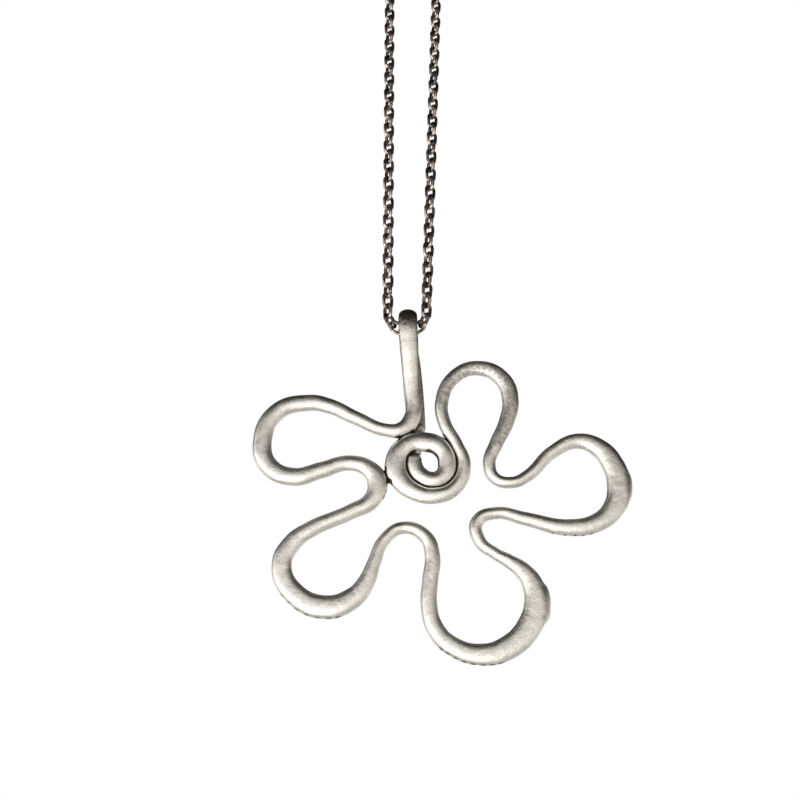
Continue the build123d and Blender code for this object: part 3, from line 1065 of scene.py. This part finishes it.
def press_hollows(piece, name, size, depth, group):
    """Moves the surface in and out by a cloud pattern of one size, and applies it."""
    clouds = bpy.data.textures.new(name, "CLOUDS")
    clouds.noise_scale = size
    clouds.noise_depth = 1
    hollows = piece.modifiers.new(name, "DISPLACE")
    hollows.texture = clouds
    hollows.texture_coords = "LOCAL"
    hollows.strength = depth
    hollows.vertex_group = group
    bpy.ops.object.modifier_apply(modifier=hollows.name)


pick(wire)
for kind in hollow_kinds:
    press_hollows(wire, *kind)
print("size of the wire", [round(x / MM, 2) for x in wire.dimensions])

# %% [markdown]
# ## Where the silver stays dark
# Polishing leaves dark oxide in the soldered seams, and painted shade darkens them too, as well
# as the hub's eye and end, the undersides of three petals and the hidden end of the bail. The
# top of the bail and the upper right petal are made darker as well. It could be painted on the
# mesh by hand. Here every point gets a number by its distance from the nearest seam or darkened
# place, high inside it and 0 far away, and the satin metal reads that attribute.

# %% Mark the seams and the painted shade
# Dark oxide and painted shade in the seams: full up to recess_core, gone past recess_reach.
recess_core = 0.22 * MM
recess_reach = 0.62 * MM
darkened_step = 4
# Columns: place, first and last row, edge (1 right and -1 left of the way that the rows run,
# 0 the middle), core, reach, strength.
# Painted shade darkens the hub's eye and end, the foot and left seams, the undersides of three
# petals and the bail's hidden end. The upper right petal and the top of the bail are darker too,
# and the solder on the bail's end is dark.
darkened_rows = [
    ("hub eye", 0.0, 6.9, -1, 0.35 * MM, 1.0 * MM, 0.8),
    ("hub end", 0.0, 0.1, 0, 0.5 * MM, 1.5 * MM, 0.75),
    ("left seam", 65.3, 66.9, 1, 0.15 * MM, 0.75 * MM, 0.8),
    ("foot seam", 77.7, 78.3, 1, 0.1 * MM, 0.5 * MM, 0.7),
    ("upper right petal", 17.0, 23.0, 0, 0.9 * MM, 1.7 * MM, 0.52),
    ("right petal underside", 34.3, 35.4, -1, 0.2 * MM, 0.6 * MM, 0.7),
    ("bottom petal underside", 46.5, 48.3, -1, 0.25 * MM, 0.85 * MM, 0.75),
    ("lower left underside", 58.6, 60.3, -1, 0.25 * MM, 0.85 * MM, 0.75),
    ("top of the bail", loop_row + 1.2, loop_row + 5, 0, 0.3 * MM, 4.8 * MM, 1.0),
    ("end of the bail", last_row - 2.8, last_row, 0, 0.7 * MM, 2.4 * MM, 0.66),
    ("solder on the end", last_row - 0.12, last_row, 0, 0.4 * MM, 1.1 * MM, 0.8),
]


def darkened_spots(first, last, facing):
    """Points along one edge of the wire, or along its middle, between two rows."""
    run = range(round(first * steps_per_row), round(last * steps_per_row) + 1, darkened_step)
    return [(centres[ring] + facing * side[ring] * half_width[ring], 0) for ring in run]


def fading(points, spots, core, reach):
    """1 up to core away from the nearest spot, less half its gap, and 0 past reach."""
    away = np.full(len(points), np.inf)
    for spot, gap in spots:
        away = np.minimum(away, np.linalg.norm(points - spot, axis=1) - gap / 2)
    return np.clip((reach - away) / (reach - core), 0, 1)


def mark_oxide_and_shade(piece):
    """An attribute that is 1 in the seams and fades out round them, and round every darkened
    place.
    """
    points = mesh_points(piece)
    in_seams = [place for seam in seams for place in seam]
    oxide_and_shade = fading(points, in_seams, recess_core, recess_reach)
    for _, first, last, facing, core, reach, strength in darkened_rows:
        darkening = fading(points, darkened_spots(first, last, facing), core, reach)
        oxide_and_shade = np.maximum(oxide_and_shade, strength * darkening)
    attribute = piece.data.attributes.new("oxide_and_shade", "FLOAT", "POINT")
    attribute.data.foreach_set("value", oxide_and_shade.astype(np.float32))
    return oxide_and_shade


oxide_and_shade = mark_oxide_and_shade(wire)
print("dark vertices", int((oxide_and_shade > 0.5).sum()), "of", len(oxide_and_shade))

# %% Finish the wire
smooth_angle = math.radians(50)


def finish_piece(piece, name, material, body, replaced):
    """Names a piece, gives it its finish and says which body it rides on."""
    piece.name = name
    piece.data.materials.clear()
    piece.data.materials.append(material)
    pick(piece)
    bpy.ops.object.shade_smooth_by_angle(angle=smooth_angle)
    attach(piece, body)
    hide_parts(*replaced)


finish_piece(wire, "flower_wire_forged", satin_silver, "pendant", ["flower_wire"])
print(wire.name, len(wire.data.polygons), "faces")

# %% [markdown]
# ## The chain
# A cable chain is one oval link repeated, each turned a quarter about its neighbour. An array
# along a curve would do for a loose chain, but here every link has to sit where its solid
# is. So the link is modelled once, a torus whose halves are pulled apart, and a copy is set
# in the place of each solid link. Those places are measured on the solids: the longest
# direction of a link is its length and the shortest is its normal. Its wire is drawn a little
# thicker than the solid's, because the photographed strands look that dense.

# %% Model one link
link_length = 2.98 * MM
link_width = 2.06 * MM
link_wire = 0.56 * MM
link_sides = 14
link_wire_sides = 6


def make_link():
    """One oval link, its length along Z and its flat side facing Y."""
    bpy.ops.mesh.primitive_torus_add(
        major_radius=(link_width - link_wire) / 2,
        minor_radius=link_wire / 2,
        major_segments=link_sides,
        minor_segments=link_wire_sides,
        rotation=(math.radians(90), 0, 0),
    )
    link = bpy.context.object
    bpy.ops.object.transform_apply(location=True, rotation=True, scale=True)
    for half in (1, -1):
        edit(link, "DESELECT")
        bpy.ops.object.mode_set(mode="OBJECT")
        for vertex in link.data.vertices:
            vertex.select = vertex.co.z * half > 0
        bpy.ops.object.mode_set(mode="EDIT")
        bpy.ops.transform.translate(value=(0, 0, half * (link_length - link_width) / 2))
        bpy.ops.object.mode_set(mode="OBJECT")
    return link


link = make_link()
print("link faces", len(link.data.polygons), "size", [round(x / MM, 2) for x in link.dimensions])

# %% Measure where the solid links are
solid_merge_gap = 0.001 * MM


def loose_parts(node):
    """The vertices of every separate body in a solid node."""
    copy = frame["nodes"][node].copy()
    copy.data = copy.data.copy()
    bpy.context.scene.collection.objects.link(copy)
    edit(copy)
    bpy.ops.mesh.remove_doubles(threshold=solid_merge_gap)
    bpy.ops.mesh.separate(type="LOOSE")
    bpy.ops.object.mode_set(mode="OBJECT")
    parts = []
    for part in bpy.context.selected_objects:
        parts.append(mesh_points(part))
        bpy.data.objects.remove(part)
    return parts


def link_matrix(points):
    """Where a link sits: its middle, and the directions of its width, normal and length."""
    middle = points.mean(axis=0)
    _, axes = np.linalg.eigh(np.cov((points - middle).T))
    flat, _, long = axes.T
    turn = Matrix((np.cross(flat, long), flat, long)).transposed().to_4x4()
    return Matrix.Translation(middle) @ turn


# %% Set a link in every place


def make_strand(node, name):
    """All links of one strand, joined into one piece."""
    copies = []
    for points in loose_parts(node):
        copy = link.copy()
        copy.data = link.data.copy()
        copy.data.transform(link_matrix(points))
        bpy.context.scene.collection.objects.link(copy)
        copies.append(copy)
    pick(copies[0])
    for copy in copies:
        copy.select_set(True)
    bpy.ops.object.join()
    strand = bpy.context.object
    finish_piece(strand, name, dark_silver, "necklace", [node])
    return strand, len(copies)


for node, name in (("chain_left", "left_strand"), ("chain_right", "right_strand")):
    strand, count = make_strand(node, name)
    print(name, count, "links", len(strand.data.polygons), "faces")
bpy.data.objects.remove(link)

# %% [markdown]
# ## Clasp and ring
# The clasp hangs behind the neck and is one plain piece. It could be modelled again like the
# link, but its solid already has the right shape, so it stays, and so does its ring: they
# only get the chain's metal.

# %% Dress the clasp
for node in ("clasp", "clasp_ring"):
    solid = frame["nodes"][node]
    solid.data.materials.clear()
    solid.data.materials.append(dark_silver)
    print("dressed", solid.name)

# %% [markdown]
# ## The last measurement
# The boxes of the solids and of the dressed jewel are printed side by side, so that it
# can be seen that nothing grew.

# %% Print the sizes and finish
boxes = {"cad": cad_box, "visual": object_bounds()}
for name, (low, high) in boxes.items():
    print(name, [round(x / MM, 2) for x in low], [round(x / MM, 2) for x in high])
